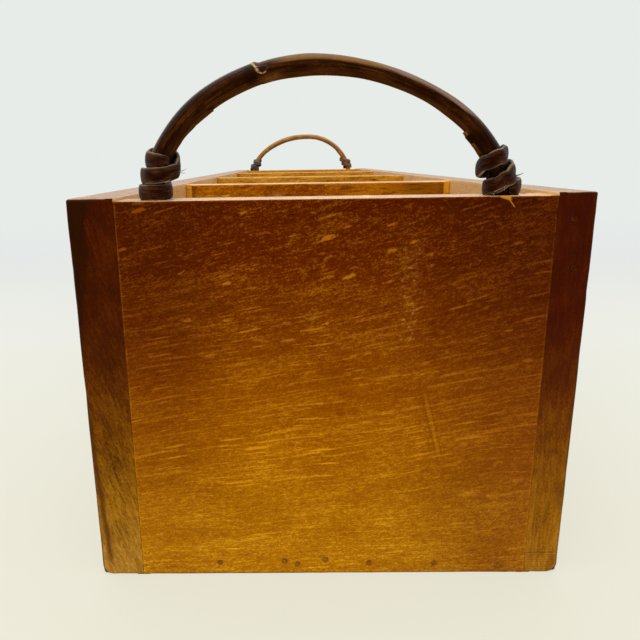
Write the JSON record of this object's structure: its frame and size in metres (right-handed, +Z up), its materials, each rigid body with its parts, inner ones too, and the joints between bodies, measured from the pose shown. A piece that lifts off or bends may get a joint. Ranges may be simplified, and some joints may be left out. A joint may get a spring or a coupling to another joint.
{
  "type": "storage caddy",
  "caption": "Long open wooden caddy, divided across into bays, with an arched cane handle bound to the top of each end panel.",
  "frame": {"origin": "on the floor, under the middle of the box", "axes": "+Y along the box from its front end panel (the one nearest the camera) to the back one, +X to the right seen from the front, +Z up"},
  "size_m": [0.2, 0.756, 0.216],
  "materials": {
    "side_wood": "dark stained and varnished, worn at the arrises",
    "panel_wood": "red-brown to amber stain under gloss varnish",
    "divider_wood": "amber stain, satin",
    "bottom_wood": "thin amber stain, satin",
    "dark_cane": "dark stained cane, varnished",
    "amber_cane": "light stained cane, varnished",
    "binding_strip": "dark split rattan, satin",
    "brad_steel": "dulled and stained over"
  },
  "bodies": {
    "root": {"binding_back_left": "binding_strip", "binding_back_right": "binding_strip", "binding_front_left": "binding_strip", "binding_front_right": "binding_strip", "bottom_board": "bottom_wood", "brad_back_left_1": "brad_steel", "brad_back_left_2": "brad_steel", "brad_back_right_1": "brad_steel", "brad_back_right_2": "brad_steel", "brad_back_row_1": "brad_steel", "brad_back_row_2": "brad_steel", "brad_back_row_3": "brad_steel", "brad_back_row_4": "brad_steel", "brad_back_row_5": "brad_steel", "brad_front_left_1": "brad_steel", "brad_front_left_2": "brad_steel", "brad_front_right_1": "brad_steel", "brad_front_right_2": "brad_steel", "brad_front_row_1": "brad_steel", "brad_front_row_2": "brad_steel", "brad_front_row_3": "brad_steel", "brad_front_row_4": "brad_steel", "brad_front_row_5": "brad_steel", "brad_front_row_6": "brad_steel", "brad_front_row_7": "brad_steel", "brad_left_bottom_1": "brad_steel", "brad_left_bottom_2": "brad_steel", "brad_left_divider_1_1": "brad_steel", "brad_left_divider_1_2": "brad_steel", "brad_left_divider_2_1": "brad_steel", "brad_left_divider_2_2": "brad_steel", "brad_left_divider_3_1": "brad_steel", "brad_left_divider_3_2": "brad_steel", "brad_left_end_panel_back_1": "brad_steel", "brad_left_end_panel_back_2": "brad_steel", "brad_left_end_panel_front_1": "brad_steel", "brad_left_end_panel_front_2": "brad_steel", "brad_right_bottom_1": "brad_steel", "brad_right_bottom_2": "brad_steel", "brad_right_divider_1_1": "brad_steel", "brad_right_divider_1_2": "brad_steel", "brad_right_divider_2_1": "brad_steel", "brad_right_divider_2_2": "brad_steel", "brad_right_divider_3_1": "brad_steel", "brad_right_divider_3_2": "brad_steel", "brad_right_end_panel_back_1": "brad_steel", "brad_right_end_panel_back_2": "brad_steel", "brad_right_end_panel_front_1": "brad_steel", "brad_right_end_panel_front_2": "brad_steel", "divider_1": "divider_wood", "divider_2": "divider_wood", "divider_3": "divider_wood", "end_panel_back": "panel_wood", "end_panel_front": "panel_wood", "handle_cane_back": "amber_cane", "handle_cane_front": "dark_cane", "side_left": "side_wood", "side_right": "side_wood"}
  },
  "joints": []
}
